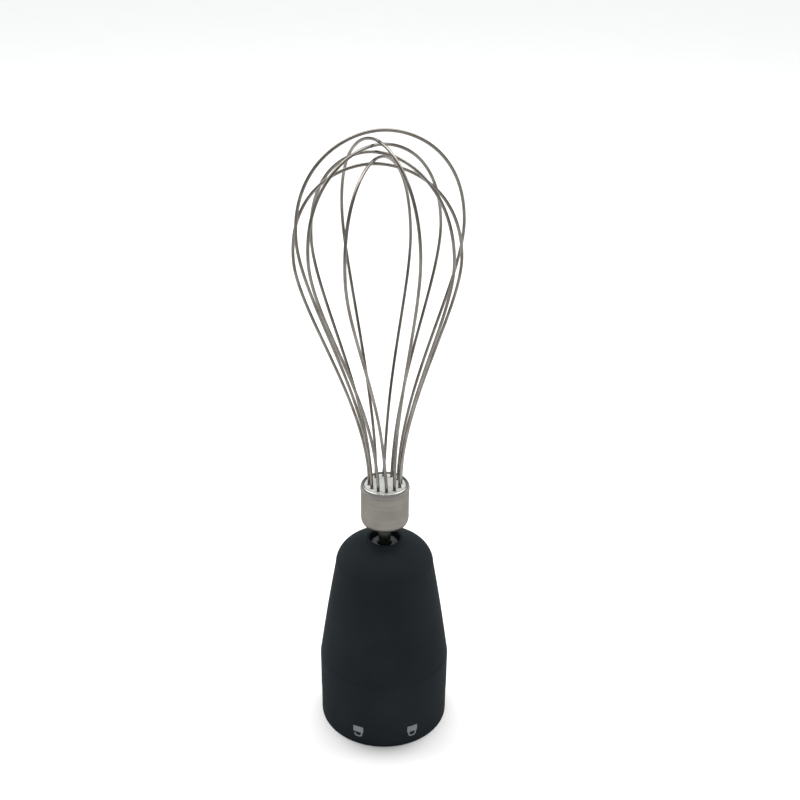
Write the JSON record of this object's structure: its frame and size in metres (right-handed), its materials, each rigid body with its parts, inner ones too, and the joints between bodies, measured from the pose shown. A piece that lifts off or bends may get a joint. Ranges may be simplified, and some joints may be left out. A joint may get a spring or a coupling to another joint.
{
  "type": "whisk attachment",
  "caption": "Balloon whisk attachment of a stick blender: black cone gearbox with an open motor socket and a pull-off wire whisk in a steel cup.",
  "frame": {"origin": "centre of the gearbox mouth, in the plane of the rim it stands on", "axes": "+Z along the gearbox and whisk axis, towards the whisk's tip; -Y towards the side with the two lock marks"},
  "size_m": [0.0633, 0.0592, 0.2554],
  "materials": {
    "black_plastic": "matte moulded, fine texture",
    "grey_print": "pad printed grey",
    "steel": "turned",
    "bronze": "sintered bronze",
    "seal_rubber": "matte",
    "white_acetal": "moulded",
    "grey_acetal": "moulded",
    "spring_steel": "hardened, dark",
    "satin_steel": "satin",
    "holder_grey": "light grey moulding",
    "wire_steel": "polished wire"
  },
  "bodies": {
    "gearbox": {"gearbox_housing": "black_plastic", "socket_collar": "black_plastic", "lock_mark_open": "grey_print", "lock_mark_closed": "grey_print", "gear_cover": "black_plastic", "cover_screw_1": "steel", "cover_screw_2": "steel", "cover_screw_3": "steel", "input_bushing": "bronze", "output_bushing": "bronze", "shaft_seal": "seal_rubber", "ring_gear": "white_acetal", "thrust_washer": "bronze"},
    "output": {"output_spindle": "grey_acetal", "output_circlip": "spring_steel", "snap_ring": "spring_steel", "planet_carrier": "grey_acetal", "carrier_plate": "steel", "planet_pin_1": "steel", "planet_pin_2": "steel", "planet_pin_3": "steel"},
    "planet_1": {"planet_gear_1": "white_acetal"},
    "planet_2": {"planet_gear_2": "white_acetal"},
    "planet_3": {"planet_gear_3": "white_acetal"},
    "input": {"input_shaft": "steel", "sun_gear": "steel", "drive_coupling": "white_acetal"},
    "whisk": {"whisk_shaft": "steel", "whisk_ferrule": "satin_steel", "wire_holder": "holder_grey", "whisk_wire_1": "wire_steel", "whisk_wire_2": "wire_steel", "whisk_wire_3": "wire_steel", "whisk_wire_4": "wire_steel", "whisk_wire_5": "wire_steel", "whisk_wire_6": "wire_steel"}
  },
  "joints": [
    {"name": "output_spin", "type": "hinge", "parent": "gearbox", "child": "output", "pos_m": [0, 0, 0.0625], "axis": [0, 0, 1], "continuous": true},
    {"name": "input_spin", "type": "hinge", "parent": "gearbox", "child": "input", "pos_m": [0, 0, 0.03], "axis": [0, 0, 1], "continuous": true},
    {"name": "planet_1_spin", "type": "hinge", "parent": "output", "child": "planet_1", "pos_m": [0, 0.0105, 0.054], "axis": [0, 0, 1], "continuous": true},
    {"name": "planet_2_spin", "type": "hinge", "parent": "output", "child": "planet_2", "pos_m": [-0.00909, -0.00525, 0.054], "axis": [0, 0, 1], "continuous": true},
    {"name": "planet_3_spin", "type": "hinge", "parent": "output", "child": "planet_3", "pos_m": [0.00909, -0.00525, 0.054], "axis": [0, 0, 1], "continuous": true},
    {"name": "whisk_pull_off", "type": "slide", "parent": "output", "child": "whisk", "axis": [0, 0, 1], "range_m": [0, 0.03]}
  ],
  "couplings": [
    {"joint": "input_spin", "follows": "output_spin", "ratio": 5},
    {"joint": "planet_1_spin", "follows": "output_spin", "ratio": -2.6667},
    {"joint": "planet_2_spin", "follows": "output_spin", "ratio": -2.6667},
    {"joint": "planet_3_spin", "follows": "output_spin", "ratio": -2.6667}
  ]
}
